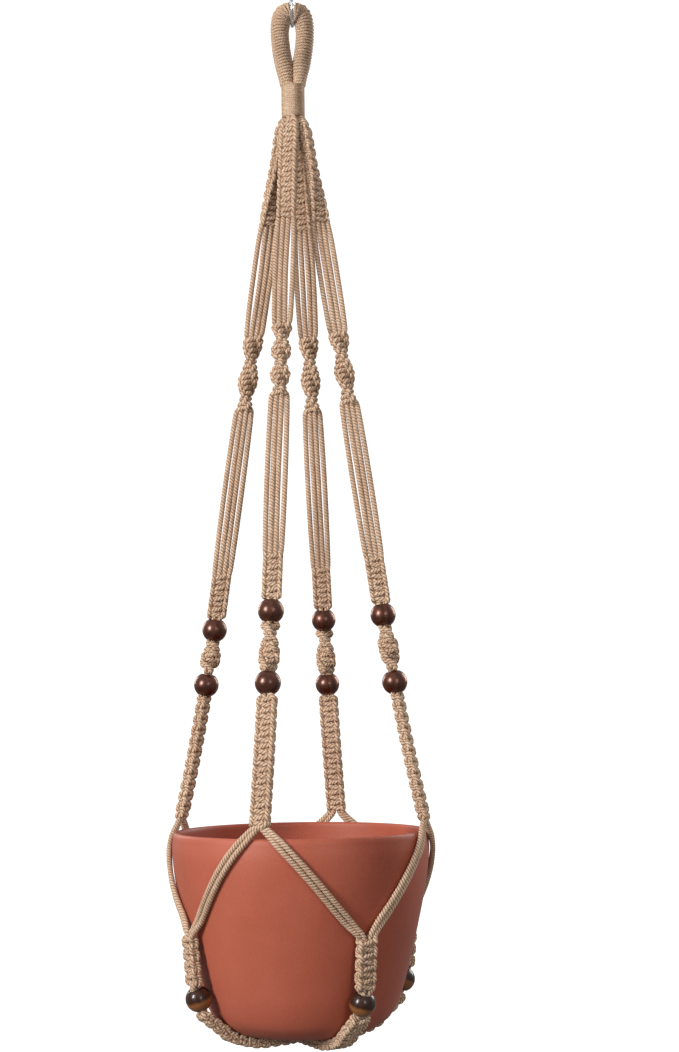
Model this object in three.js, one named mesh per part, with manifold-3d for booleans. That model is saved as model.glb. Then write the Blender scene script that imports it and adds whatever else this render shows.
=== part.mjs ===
// A hanging macrame planter: a terracotta pot in a rope hanger with wooden beads, and the
// hardware that hangs it from a ceiling. Millimetres, +Z up. The origin is on the planter's
// vertical axis, in the plane of the ceiling, so everything but the wall plug and the hook's
// screw hangs below it. The planter's front faces -Y.
//
// An azimuth is measured about +Z from the front, so azimuth 0 is -Y and azimuth 90 is +X.
// A level is a height z. The hanger's four arms run down and outwards in straight lines from
// the collar to the pot's rim, split there into pairs that cross to the four side sinnets,
// and meet again under the pot.

import * as THREE from 'three';
import { mergeVertices } from 'three/addons/utils/BufferGeometryUtils.js';
import Module from 'manifold-3d';

const wasm = await Module();
wasm.setup();

// ---- driving dimensions ------------------------------------------------------------------

const GAP = 0.3; // between one piece and the next

const PLUG = { length: 30, radius: 3, headRadius: 4.2, headHeight: 1, boreRadius: 2.6, slit: 0.9, ribs: 3 };

const HOOK = { wireRadius: 2.7, innerRadius: 15, lowestInside: -52.6, flangeRadius: 4.9, flangeHeight: 2,
  screwRadius: 2.2, screwLength: 22, stemBottom: -12 };

const S_HOOK = { wireRadius: 1.5, bendRadius: 14.3, tipAngle: 35, capRadius: 2.3, capLength: 11 };

const LOOP = { top: -103, eyeTop: -121.4, eyeBottom: -158, neckBottom: -176.7,
  limbRadius: 7.6, limbSpread: 10.35, coreRadius: 7.6 };

const COLLAR = { radius: 10.2, top: -177, bottom: -206.9 };

const CORD = { radius: 2, outerOffset: 6.8, innerOffset: 2.1 };
const SINNET = { width: 16.5, thickness: 10.5, chamfer: 3 };
const JOINING_BAR = 2.5; // height of the band that joins the open cords at each end

const ARM = { slope: 0.1494, level: -385, radius: 36, flareLevel: -636, flare: 0.000262, crowding: 13.8,
  pinch: 4.5, pinchHeight: 6, turnStart: -240, turnEnd: -330 };

// One entry for each arm: its azimuth, the level where each stretch of it begins, and how many
// half turns its spiral makes.
const ARMS = [
  { name: 'front', azimuth: -17.5, open: -300, spiral: -393,
    halfTurns: 3, lower: -455, mid: -588, bead: -635 },
  { name: 'right', azimuth: 72.5, open: -300, spiral: -396,
    halfTurns: 2, lower: -458, mid: -588, bead: -637 },
  { name: 'back', azimuth: 162.5, open: -300, spiral: -391,
    halfTurns: 2, lower: -456, mid: -591, bead: -636.5 },
  { name: 'left', azimuth: -107.5, open: -300, spiral: -395,
    halfTurns: 2, lower: -459, mid: -599, bead: -646 },
];
const LOWER_BEAD = -692.5;
const RIM_JOINT = -804;

// The four places between the arms where the cords of two neighbours are knotted together.
const SIDES = [
  { name: 'front_right', azimuth: 29.5, from: 'front', to: 'right' },
  { name: 'back_right', azimuth: 116.5, from: 'right', to: 'back' },
  { name: 'back_left', azimuth: -150.5, from: 'back', to: 'left' },
  { name: 'front_left', azimuth: -60.5, from: 'left', to: 'front' },
];
const SIDE_KNOT = { level: -893, radius: 103 };
// The cords lean inwards through a base bead: `lean` is how far for each millimetre down.
const BASE_BEAD = { level: -943, radius: 95.3, lean: 0.38 };

const BEAD = { radius: 10.5, boreRadius: 5, coreRadius: 4.5, halfLength: 10.2 };

const POT = { base: -977, floor: -972, rim: -814, wall: 4.5, segments: 32 };
// The pot's outer outline from the edge of its base up to the start of its lip: radius, level.
const POT_OUTLINE = new THREE.SplineCurve([
  new THREE.Vector2(46, POT.base),
  new THREE.Vector2(56.5, -975),
  new THREE.Vector2(66.8, -969.5),
  new THREE.Vector2(74.7, -961.5),
  new THREE.Vector2(82, -946),
  new THREE.Vector2(89, -922),
  new THREE.Vector2(96.5, -891),
  new THREE.Vector2(103.5, -857),
  new THREE.Vector2(106.5, -832),
  new THREE.Vector2(106, -818),
]);
const POT_CLEARANCE = 1; // between the pot and the cords that hold it

// ---- materials ---------------------------------------------------------------------------

const jute = new THREE.MeshStandardMaterial({ color: '#b9967a', roughness: 0.95, metalness: 0 });
const juteCords = new THREE.MeshStandardMaterial({ color: '#c9a88a', roughness: 0.95, metalness: 0 });
const darkWood = new THREE.MeshStandardMaterial({ color: '#4a2318', roughness: 0.25, metalness: 0 });
const terracotta = new THREE.MeshStandardMaterial({ color: '#b05a42', roughness: 0.5, metalness: 0 });
const vinyl = new THREE.MeshStandardMaterial({ color: '#734b32', roughness: 0.4, metalness: 0 });
const chrome = new THREE.MeshStandardMaterial({ color: '#d6d8da', roughness: 0.12, metalness: 1 });
const nylon = new THREE.MeshStandardMaterial({ color: '#efede6', roughness: 0.5, metalness: 0 });
const clearCap = new THREE.MeshStandardMaterial({ color: '#e6ecee', roughness: 0.2, metalness: 0 });

// ---- helpers -----------------------------------------------------------------------------

const radians = THREE.MathUtils.degToRad;
const { lerp, smoothstep } = THREE.MathUtils;

/** A closed geometry as a manifold-3d solid. */
function toSolid(geometry) {
  const bare = geometry.clone();
  bare.deleteAttribute('normal');
  bare.deleteAttribute('uv');
  const merged = mergeVertices(bare, 1e-4);
  return new wasm.Manifold(new wasm.Mesh({
    numProp: 3,
    vertProperties: new Float32Array(merged.getAttribute('position').array),
    triVerts: new Uint32Array(merged.index.array),
  }));
}

/** A manifold-3d solid as a geometry. */
function toGeometry(solid) {
  const mesh = solid.getMesh();
  const geometry = new THREE.BufferGeometry();
  geometry.setAttribute('position', new THREE.BufferAttribute(new Float32Array(mesh.vertProperties), 3));
  geometry.setIndex(new THREE.BufferAttribute(new Uint32Array(mesh.triVerts), 1));
  geometry.computeVertexNormals();
  return geometry;
}

/** One solid from several that overlap. */
function join(geometries) {
  return toGeometry(geometries.map(toSolid).reduce((whole, piece) => whole.add(piece)));
}

/** A geometry with others cut out of it. */
function cut(geometry, tools) {
  return toGeometry(tools.map(toSolid).reduce((left, tool) => left.subtract(tool), toSolid(geometry)));
}

/** A regular outline of the given radius, centred `offset` along the outline's x. */
function round(radius, sides = 8, offset = 0) {
  const shape = new THREE.Shape();
  for (let i = 0; i < sides; i += 1) {
    const angle = (2 * Math.PI * (i + 0.5)) / sides;
    const point = [offset + radius * Math.cos(angle), radius * Math.sin(angle)];
    if (i === 0) shape.moveTo(...point);
    else shape.lineTo(...point);
  }
  shape.closePath();
  return shape;
}

/** The outline of a sinnet: a flat band with its corners cut off, `scale` of full size. */
function band(scale = 1) {
  const x = (SINNET.width / 2) * scale;
  const y = (SINNET.thickness / 2) * scale;
  const c = SINNET.chamfer * scale;
  const corners = [
    [x, y - c], [x - c, y], [c - x, y], [-x, y - c],
    [-x, c - y], [c - x, -y], [x - c, -y], [x, c - y],
  ];
  return new THREE.Shape(corners.map(([u, v]) => new THREE.Vector2(u, v)));
}

/**
 * Extrudes an outline in a straight line and then lays its rings along a route. `frameAt(t)`
 * gives the ring at t, from 0 to 1: where it is, and the directions, with their scale, that
 * the outline's x and y take there.
 */
function sweep(outline, steps, frameAt) {
  const geometry = new THREE.ExtrudeGeometry(outline, { depth: 1, steps, bevelEnabled: false });
  const frames = Array.from({ length: steps + 1 }, (_, i) => frameAt(i / steps));
  const position = geometry.getAttribute('position');
  const point = new THREE.Vector3();
  for (let i = 0; i < position.count; i += 1) {
    const frame = frames[Math.round(position.getZ(i) * steps)];
    point.copy(frame.origin);
    point.addScaledVector(frame.across, position.getX(i));
    point.addScaledVector(frame.through, position.getY(i));
    position.setXYZ(i, point.x, point.y, point.z);
  }
  geometry.computeVertexNormals();
  return geometry;
}

/** Sweeps an outline along a curve. `scaleAt(t)` may scale the outline's y. */
function sweepCurve(outline, steps, curve, scaleAt = () => 1) {
  const frenet = curve.computeFrenetFrames(steps, false);
  return sweep(outline, steps, (t) => {
    const i = Math.round(t * steps);
    return {
      origin: curve.getPointAt(t),
      across: frenet.normals[i],
      through: frenet.binormals[i].clone().multiplyScalar(scaleAt(t)),
    };
  });
}

/** Points on an arc in the YZ or XZ plane, by angle in degrees from the plane's level axis. */
function arc(centreLevel, radius, from, to, count, toPoint) {
  return Array.from({ length: count }, (_, i) => {
    const angle = radians(lerp(from, to, i / (count - 1)));
    return toPoint(radius * Math.cos(angle), centreLevel + radius * Math.sin(angle));
  });
}

const inXZ = (x, z) => new THREE.Vector3(x, 0, z);
const inYZ = (y, z) => new THREE.Vector3(0, y, z);

const outward = (azimuth) => new THREE.Vector3(Math.sin(radians(azimuth)), -Math.cos(radians(azimuth)), 0);
const sideways = (azimuth) => new THREE.Vector3(Math.cos(radians(azimuth)), Math.sin(radians(azimuth)), 0);

/** A point at a radius and level above an azimuth. */
function polar(radius, azimuth, level) {
  return outward(azimuth).multiplyScalar(radius).setZ(level);
}

/** A lathe turned about +Z. */
function lathe(points, segments) {
  return new THREE.LatheGeometry(points, segments).rotateX(Math.PI / 2);
}

// ---- the hanger's arms -------------------------------------------------------------------

/** How far an arm's centre line is from the planter's axis. */
function armRadius(level) {
  const straight = ARM.radius + ARM.slope * (ARM.level - level);
  const belowFlare = Math.max(0, ARM.flareLevel - level);
  const belowCollar = COLLAR.bottom - level;
  return straight + ARM.flare * belowFlare ** 2 - ARM.pinch * Math.exp(-belowCollar / ARM.pinchHeight);
}

/** The turn, in degrees, that brings an arm's flat side from facing outwards to facing the front. */
const turnToFront = (azimuth) => (Math.abs(Math.sin(radians(azimuth))) > 0.5 ? -72.5 : 17.5);

/** A stretch of an arm between two levels. `turnAt(level)` turns its flat side, in degrees. */
function armPiece(arm, outline, top, bottom, steps, turnAt) {
  return sweep(outline, steps, (t) => {
    const level = lerp(bottom, top, t);
    const radius = armRadius(level);
    const size = Math.min(1, radius / ARM.crowding);
    const facing = arm.azimuth + turnAt(level);
    return {
      origin: polar(radius, arm.azimuth, level),
      across: sideways(facing).multiplyScalar(size),
      through: outward(facing).multiplyScalar(-size),
    };
  });
}

/** The knotted stretch under the collar, where the four arms crowd together. */
function topSinnet(arm) {
  const turnAt = (level) => smoothstep(-level, -ARM.turnStart, -ARM.turnEnd) * turnToFront(arm.azimuth);
  return armPiece(arm, band(), COLLAR.bottom - GAP, arm.open, 7, turnAt);
}

/** Four cords side by side, joined at both ends. */
function openCords(arm, top, bottom, turnAt) {
  const offsets = [-CORD.outerOffset, -CORD.innerOffset, CORD.innerOffset, CORD.outerOffset];
  const cords = offsets.map((offset) => armPiece(arm, round(CORD.radius, 8, offset), top, bottom, 2, turnAt));
  const bars = [
    armPiece(arm, band(0.9), top, top - JOINING_BAR, 1, turnAt),
    armPiece(arm, band(0.9), bottom + JOINING_BAR, bottom, 1, turnAt),
  ];
  return join([...cords, ...bars]);
}

function upperCords(arm) {
  const turnAt = (level) => smoothstep(-level, -ARM.turnStart, -ARM.turnEnd) * turnToFront(arm.azimuth);
  return openCords(arm, arm.open - GAP, arm.spiral, turnAt);
}

function lowerCords(arm) {
  return openCords(arm, arm.lower - GAP, arm.mid, () => turnToFront(arm.azimuth));
}

/** A sinnet of half knots, which twists by half a turn for each half turn of the arm's spiral. */
function spiralKnot(arm) {
  const top = arm.spiral - GAP;
  const front = turnToFront(arm.azimuth);
  const turnAt = (level) => front + (180 * arm.halfTurns * (top - level)) / (top - arm.lower);
  return armPiece(arm, band(), top, arm.lower, 6 * arm.halfTurns, turnAt);
}

/** The sinnet above the upper bead, the cords inside the bead, and the twist down to the lower bead. */
function beadSinnet(arm) {
  const front = turnToFront(arm.azimuth);
  const beadTop = arm.bead + BEAD.halfLength;
  const beadBottom = arm.bead - BEAD.halfLength;
  const lowerBeadTop = LOWER_BEAD + BEAD.halfLength;
  const turnAt = (level) => front + ((180 - front) * (beadBottom - level)) / (beadBottom - lowerBeadTop);
  return join([
    armPiece(arm, band(), arm.mid - GAP, beadTop, 1, () => front),
    armPiece(arm, round(BEAD.coreRadius, 10), beadTop + 1, beadBottom - 1, 1, () => 0),
    armPiece(arm, band(0.94), beadBottom, lowerBeadTop, 8, turnAt),
  ]);
}

/** The cords inside the lower bead and the sinnet from there to the pot's rim. */
function rimSinnet(arm) {
  const beadTop = LOWER_BEAD + BEAD.halfLength - GAP;
  const beadBottom = LOWER_BEAD - BEAD.halfLength;
  return join([
    armPiece(arm, round(BEAD.coreRadius, 10), beadTop, beadBottom - 1, 1, () => 0),
    armPiece(arm, band(), beadBottom, RIM_JOINT, 4, () => 0),
  ]);
}

// ---- the cords round the pot -------------------------------------------------------------

/** The point of the pot's outline at a level, and its outward normal there. */
function potSurface(level) {
  let low = 0;
  let high = 1;
  for (let i = 0; i < 30; i += 1) {
    const middle = (low + high) / 2;
    if (POT_OUTLINE.getPoint(middle).y < level) low = middle;
    else high = middle;
  }
  const tangent = POT_OUTLINE.getTangent(low);
  return { point: POT_OUTLINE.getPoint(low), normal: new THREE.Vector2(tangent.y, -tangent.x) };
}

/** The radius at which something `standoff` thick on each side of its centre lies on the pot. */
function onPot(level, standoff) {
  const surface = potSurface(Math.min(level, POT.rim - 6));
  return surface.point.x + (standoff + POT_CLEARANCE) / Math.max(0.5, surface.normal.x);
}

/** One cord of a net pair, from its place in the rim sinnet to its place in the side sinnet. */
function netCord(startAzimuth, startOffset, endAzimuth, endOffset) {
  const points = [];
  const count = 9;
  const startLevel = RIM_JOINT - CORD.radius;
  const endLevel = SIDE_KNOT.level + CORD.radius;
  for (let i = 0; i < count; i += 1) {
    const t = i / (count - 1);
    const level = lerp(startLevel, endLevel, t);
    const lying = onPot(level, CORD.radius);
    const lift = Math.max(0, 1 - 5 * t) * (armRadius(startLevel) - lying);
    const settle = Math.max(0, 5 * t - 4) * (SIDE_KNOT.radius - lying);
    const radius = lying + lift + settle;
    const spread = lerp(startOffset, endOffset, smoothstep(t, 0.1, 0.9));
    const azimuth = lerp(startAzimuth, endAzimuth, t) + THREE.MathUtils.radToDeg(spread / radius);
    points.push(polar(radius, azimuth, level));
  }
  return sweepCurve(round(CORD.radius), 8, new THREE.CatmullRomCurve3(points));
}

/** The two cords that cross the pot from an arm to a side, lying against each other. */
function netPair(arm, side, toward) {
  const near = 2.5 * toward;
  const far = 6 * toward;
  const turned = side.azimuth + 360 * Math.round((arm.azimuth - side.azimuth) / 360);
  return join([
    netCord(arm.azimuth, near, turned, -far),
    netCord(arm.azimuth, far, turned, -near),
  ]);
}

/** A point on the line of the cords inside a base bead, `below` its centre, in the side's own plane. */
const onBaseBeadAxis = (below) => inYZ(-(BASE_BEAD.radius - BASE_BEAD.lean * below), BASE_BEAD.level - below);

/** The sinnet down the side of the pot, with the cords inside the bead at its foot. */
function sideSinnet(side) {
  const reach = BEAD.halfLength;
  const start = inYZ(-SIDE_KNOT.radius, SIDE_KNOT.level);
  const knotted = new THREE.LineCurve3(start, onBaseBeadAxis(-reach - 2 * GAP));
  const threaded = new THREE.LineCurve3(onBaseBeadAxis(-reach - 2), onBaseBeadAxis(reach));
  return join([
    sweepCurve(band(), 1, knotted),
    sweepCurve(round(BEAD.coreRadius, 10), 1, threaded),
  ]).rotateZ(radians(side.azimuth));
}

/** The four sinnets that run under the pot from the base beads, crossing on the planter's axis. */
function baseCross() {
  const standoff = SINNET.thickness / 2 + POT_CLEARANCE;
  const route = [onBaseBeadAxis(BEAD.halfLength + GAP), onBaseBeadAxis(BEAD.halfLength + 4)];
  for (const level of [-965, -972]) {
    const { point, normal } = potSurface(level);
    route.push(inYZ(-(point.x + standoff * normal.x), point.y + standoff * normal.y));
  }
  route.push(inYZ(-44, POT.base - standoff), inYZ(-22, POT.base - standoff), inYZ(0, POT.base - standoff));
  const sinnets = SIDES.map((side) => (
    sweepCurve(band(), 13, new THREE.CatmullRomCurve3(route)).rotateZ(radians(side.azimuth))
  ));
  return join(sinnets);
}

// ---- beads -------------------------------------------------------------------------------

/** A round wooden bead with a bore along its own Z. */
function beadGeometry() {
  const half = Math.asin(BEAD.boreRadius / BEAD.radius);
  const steps = 5;
  const points = Array.from({ length: steps + 1 }, (_, i) => {
    const angle = lerp(half, Math.PI - half, i / steps);
    return new THREE.Vector2(BEAD.radius * Math.sin(angle), -BEAD.radius * Math.cos(angle));
  });
  points.push(points[0].clone());
  return lathe(points, 12);
}

/** A bead at a place on its cord, with its bore along the cord. */
function beadMesh(name, centre, direction) {
  const bead = new THREE.Mesh(beadGeometry(), darkWood);
  bead.name = name;
  bead.position.copy(centre);
  bead.quaternion.setFromUnitVectors(new THREE.Vector3(0, 0, 1), direction);
  return bead;
}

function armBead(name, arm, level) {
  const above = polar(armRadius(level + 1), arm.azimuth, level + 1);
  const below = polar(armRadius(level - 1), arm.azimuth, level - 1);
  return beadMesh(name, polar(armRadius(level), arm.azimuth, level), above.sub(below).normalize());
}

function baseBead(side) {
  const direction = polar(BASE_BEAD.lean, side.azimuth, 1).normalize();
  const centre = polar(BASE_BEAD.radius, side.azimuth, BASE_BEAD.level);
  return beadMesh(`bead_base_${side.name}`, centre, direction);
}

// ---- the loop and collar -----------------------------------------------------------------

/** The wrapped loop with its narrow eye, and the bundle of cords that runs down inside the collar. */
function hangingLoop() {
  const spread = LOOP.limbSpread;
  const crown = (LOOP.top + LOOP.eyeTop) / 2;
  const crownScale = (LOOP.top - LOOP.eyeTop) / 2 / LOOP.limbRadius;
  const route = [
    inXZ(-spread + 2.2, LOOP.eyeBottom),
    inXZ(-spread + 0.3, LOOP.eyeBottom + 14),
    inXZ(-spread, LOOP.eyeTop - 6),
    inXZ(-spread * 0.72, crown - 2.6),
    inXZ(0, crown),
    inXZ(spread * 0.72, crown - 2.6),
    inXZ(spread, LOOP.eyeTop - 6),
    inXZ(spread - 0.3, LOOP.eyeBottom + 14),
    inXZ(spread - 2.2, LOOP.eyeBottom),
  ];
  const thicken = (t) => 1 + (crownScale - 1) * Math.max(0, 1 - Math.abs(t - 0.5) * 6);
  const limbs = sweepCurve(round(LOOP.limbRadius, 12), 18, new THREE.CatmullRomCurve3(route), thicken);
  const neck = sweep(round(1, 12), 3, (t) => {
    const taper = smoothstep(t, 0, 1);
    return {
      origin: inXZ(0, lerp(LOOP.neckBottom, LOOP.eyeBottom + 3, t)),
      across: new THREE.Vector3(lerp(COLLAR.radius, spread + 5.2, taper), 0, 0),
      through: new THREE.Vector3(0, lerp(8.6, LOOP.limbRadius, taper), 0),
    };
  });
  const bundle = sweep(round(LOOP.coreRadius, 12), 1, (t) => ({
    origin: inXZ(0, lerp(COLLAR.bottom, LOOP.neckBottom + 1, t)),
    across: new THREE.Vector3(1, 0, 0),
    through: new THREE.Vector3(0, 1, 0),
  }));
  return join([limbs, neck, bundle]);
}

/** The cord wound tightly round the bundle below the loop. */
function collarWrap() {
  const inner = LOOP.coreRadius + GAP;
  const corners = [[inner, COLLAR.bottom], [COLLAR.radius, COLLAR.bottom], [COLLAR.radius, COLLAR.top],
    [inner, COLLAR.top], [inner, COLLAR.bottom]];
  return lathe(corners.map(([x, y]) => new THREE.Vector2(x, y)), 20);
}

// ---- hardware ----------------------------------------------------------------------------

/** A nylon wall plug with a flat head, ribs and a slit foot, above the ceiling plane. */
function wallPlug() {
  const { length, radius, headRadius, headHeight, boreRadius, slit, ribs } = PLUG;
  const outline = [[boreRadius, -headHeight], [headRadius, -headHeight], [headRadius, 0], [radius, 0]];
  const ribPitch = (length - 8) / ribs;
  for (let i = 0; i < ribs; i += 1) {
    const level = 5 + i * ribPitch;
    outline.push([radius, level], [radius - 0.35, level + 0.6], [radius - 0.35, level + ribPitch / 2]);
  }
  outline.push([radius, length - 3], [boreRadius + 0.1, length]);
  outline.push([boreRadius, length], [boreRadius, -headHeight]);
  const body = lathe(outline.map(([x, y]) => new THREE.Vector2(x, y)), 12);
  const blade = new THREE.BoxGeometry(slit, 3 * radius, 20).translate(0, 0, length - 7);
  return cut(body, [blade]);
}

/** The coated screw hook: screw, flange, stem and open bend, all in the XZ plane. */
function ceilingHook() {
  const { wireRadius, innerRadius, lowestInside } = HOOK;
  const { flangeRadius, flangeHeight, screwRadius, screwLength } = HOOK;
  const flangeTop = -PLUG.headHeight - GAP;
  const flangeBottom = flangeTop - flangeHeight;
  const bend = innerRadius + wireRadius;
  const bendCentre = lowestInside + innerRadius;
  const route = [inXZ(0, flangeBottom + 0.5), inXZ(0, HOOK.stemBottom), inXZ(-5.5, -21.5),
    ...arc(bendCentre, bend, 150, 390, 13, inXZ)];
  const wire = sweepCurve(round(wireRadius, 8), 26, new THREE.CatmullRomCurve3(route, false, 'centripetal'));
  const screwOutline = [
    [0, flangeBottom], [flangeRadius - 0.6, flangeBottom],
    [flangeRadius, flangeBottom + 0.6], [flangeRadius, flangeTop],
    [screwRadius, flangeTop], [screwRadius, screwLength - 4], [0, screwLength],
  ];
  return join([wire, lathe(screwOutline.map(([x, y]) => new THREE.Vector2(x, y)), 12)]);
}

const S_CREST = HOOK.lowestInside + GAP + S_HOOK.wireRadius;
const S_TROUGH = LOOP.eyeTop - GAP - S_HOOK.wireRadius;

/** The route of the S-hook's wire, from its upper tip to its lower tip, in the YZ plane. */
function sHookRoute() {
  const { bendRadius, tipAngle } = S_HOOK;
  const upperCentre = S_CREST - bendRadius;
  const lowerCentre = S_TROUGH + bendRadius;
  const crossing = THREE.MathUtils.radToDeg(Math.asin((2 * bendRadius) / (upperCentre - lowerCentre)));
  return [
    ...arc(upperCentre, bendRadius, -tipAngle, 180 + crossing, 11, inYZ),
    ...arc(lowerCentre, bendRadius, crossing, -180 - tipAngle, 11, inYZ),
  ];
}

const sHookCurve = new THREE.CatmullRomCurve3(sHookRoute(), false, 'centripetal');

function sHook() {
  return sweepCurve(round(S_HOOK.wireRadius, 8), 30, sHookCurve);
}

/** A clear sleeve over one end of the S-hook, closed past the wire's end. */
function sHookTip(end) {
  const { wireRadius, capRadius, capLength } = S_HOOK;
  const share = capLength / sHookCurve.getLength();
  const at = (t) => (end === 'upper' ? t * share : 1 - t * share);
  const points = Array.from({ length: 5 }, (_, i) => sHookCurve.getPointAt(at(i / 4)));
  const beyond = points[0].clone().sub(points[1]).setLength(1.6);
  const outer = new THREE.CatmullRomCurve3([points[0].clone().add(beyond), ...points]);
  const past = points[4].clone().sub(points[3]).setLength(1);
  const inner = new THREE.CatmullRomCurve3([
    points[0].clone().addScaledVector(beyond, 0.25), ...points, points[4].clone().add(past)]);
  return cut(
    sweepCurve(round(capRadius), 5, outer),
    [sweepCurve(round(wireRadius + GAP), 5, inner)],
  );
}

// ---- the pot -----------------------------------------------------------------------------

function potGeometry() {
  const outer = POT_OUTLINE.getPoints(10);
  const lip = [[105.2, -815.4], [103.6, POT.rim], [102, -815], [101.3, -818]];
  const inner = [-834, -860, -891, -922, -950].map((level) => {
    const { point, normal } = potSurface(level);
    return [point.x - POT.wall * normal.x, point.y - POT.wall * normal.y];
  });
  const floorEdge = [[60, -970], [52, POT.floor], [0, POT.floor]];
  const turned = [...lip, ...inner, ...floorEdge].map(([x, y]) => new THREE.Vector2(x, y));
  return lathe([new THREE.Vector2(0, POT.base), ...outer, ...turned], POT.segments);
}

// ---- assembly ----------------------------------------------------------------------------

const planter = new THREE.Group();

function add(name, geometry, material, parent = planter) {
  const mesh = new THREE.Mesh(geometry, material);
  mesh.name = name;
  parent.add(mesh);
}

add('wall_plug', wallPlug(), nylon);
add('ceiling_hook', ceilingHook(), vinyl);
add('s_hook', sHook(), chrome);
add('s_hook_tip_upper', sHookTip('upper'), clearCap);
add('s_hook_tip_lower', sHookTip('lower'), clearCap);

const hanger = new THREE.Group();
planter.add(hanger);
add('hanging_loop', hangingLoop(), jute, hanger);
add('collar_wrap', collarWrap(), jute, hanger);

for (const arm of ARMS) {
  add(`${arm.name}_top_sinnet`, topSinnet(arm), jute, hanger);
  add(`${arm.name}_upper_cords`, upperCords(arm), juteCords, hanger);
  add(`${arm.name}_spiral_knot`, spiralKnot(arm), jute, hanger);
  add(`${arm.name}_lower_cords`, lowerCords(arm), juteCords, hanger);
  add(`${arm.name}_bead_sinnet`, beadSinnet(arm), jute, hanger);
  add(`${arm.name}_rim_sinnet`, rimSinnet(arm), jute, hanger);
  hanger.add(armBead(`bead_upper_${arm.name}`, arm, arm.bead));
  hanger.add(armBead(`bead_lower_${arm.name}`, arm, LOWER_BEAD));
}

for (const side of SIDES) {
  const from = ARMS.find((arm) => arm.name === side.from);
  const to = ARMS.find((arm) => arm.name === side.to);
  add(`net_${from.name}_to_${side.name}`, netPair(from, side, 1), juteCords, hanger);
  add(`net_${to.name}_to_${side.name}`, netPair(to, side, -1), juteCords, hanger);
  add(`side_sinnet_${side.name}`, sideSinnet(side), jute, hanger);
  hanger.add(baseBead(side));
}
add('base_cross', baseCross(), jute, hanger);
add('pot', potGeometry(), terracotta);

export default planter;
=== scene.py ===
"""The looks of a hanging macrame planter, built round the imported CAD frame.

Lengths are in millimetres until a mesh is made. The origin is on the planter's axis in the
plane of the ceiling, +Z is up and the front faces -Y. An azimuth is in degrees about +Z from
the front, and a level is a height.
"""

import math

import bpy
import numpy as np
from mathutils import Euler, Matrix, Vector


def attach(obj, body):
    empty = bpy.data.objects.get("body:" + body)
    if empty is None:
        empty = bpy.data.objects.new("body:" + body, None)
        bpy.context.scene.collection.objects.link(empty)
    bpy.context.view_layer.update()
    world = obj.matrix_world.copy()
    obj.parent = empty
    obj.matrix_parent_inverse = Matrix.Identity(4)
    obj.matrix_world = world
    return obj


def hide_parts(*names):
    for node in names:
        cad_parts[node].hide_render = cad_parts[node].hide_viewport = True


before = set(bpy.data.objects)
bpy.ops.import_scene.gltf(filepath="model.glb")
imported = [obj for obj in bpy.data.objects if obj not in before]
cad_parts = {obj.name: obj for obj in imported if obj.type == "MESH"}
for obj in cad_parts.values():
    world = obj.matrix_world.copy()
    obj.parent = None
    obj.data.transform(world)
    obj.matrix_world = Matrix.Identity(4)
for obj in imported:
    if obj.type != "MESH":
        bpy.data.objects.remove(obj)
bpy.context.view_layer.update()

MM = 0.001

# ---- dimensions shared with the CAD model ------------------------------------------------

COLLAR = {"radius": 10.2, "top": -177.0, "bottom": -206.9}
# One entry for each arm: its azimuth, the level where each stretch of it begins, how many half
# turns its spiral makes, and how the slack between its open cords is shared out.
ARMS = {
    "front": {"azimuth": -17.5, "spiral": -393, "half_turns": 3, "lower": -455, "mid": -588,
              "bead": -635, "upper_gaps": (0.1, 0.0, 0.9), "lower_gaps": (0.7, 0.0, 0.3)},
    "right": {"azimuth": 72.5, "spiral": -396, "half_turns": 2, "lower": -458, "mid": -588,
              "bead": -637, "upper_gaps": (0.5, 0.0, 0.5), "lower_gaps": (0.6, 0.0, 0.4)},
    "back": {"azimuth": 162.5, "spiral": -391, "half_turns": 2, "lower": -456, "mid": -591,
             "bead": -636.5, "upper_gaps": (0.0, 0.5, 0.5), "lower_gaps": (0.5, 0.0, 0.5)},
    "left": {"azimuth": -107.5, "spiral": -395, "half_turns": 2, "lower": -459, "mid": -599,
             "bead": -646, "upper_gaps": (0.0, 0.1, 0.9), "lower_gaps": (0.5, 0.0, 0.5)},
}
OPEN_LEVEL = -300  # where the top sinnets end in open cords
ARM_LINE = {"radius": 36, "level": -385, "slope": 0.1494, "flare_level": -636, "flare": 0.000262}
LOWER_BEAD = -692.5
RIM_JOINT = -804.0
SIDES = {
    "front_right": {"azimuth": 29.5, "from": "front", "to": "right"},
    "back_right": {"azimuth": 116.5, "from": "right", "to": "back"},
    "back_left": {"azimuth": -150.5, "from": "back", "to": "left"},
    "front_left": {"azimuth": -60.5, "from": "left", "to": "front"},
}
SIDE_KNOT = {"level": -893.0, "radius": 103.0}
BASE_BEAD = {"level": -943.0, "radius": 95.3, "lean": 0.38}
BEAD = {"radius": 10.5, "bore": 5.0, "half_length": 10.2}
POT_BASE = -977.0
POT_FLOOR = -972.0
POT_RIM = -814.0
POT_WALL = 4.5
POT_OUTLINE = [(46, -977), (56.5, -975), (66.8, -969.5), (74.7, -961.5), (82, -946), (89, -922),
               (96.5, -891), (103.5, -857), (106.5, -832), (106, -818)]
POT_CLEARANCE = 0.6

# ---- small helpers -----------------------------------------------------------------------


def outward(azimuth):
    a = math.radians(azimuth)
    return np.array([math.sin(a), -math.cos(a), 0.0])


def sideways(azimuth):
    a = math.radians(azimuth)
    return np.array([math.cos(a), math.sin(a), 0.0])


def polar(radius, azimuth, level):
    return outward(azimuth) * radius + np.array([0.0, 0.0, level])


def lerp(a, b, t):
    return a + (b - a) * t


def ease(t):
    t = min(1.0, max(0.0, t))
    return t * t * (3 - 2 * t)


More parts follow.
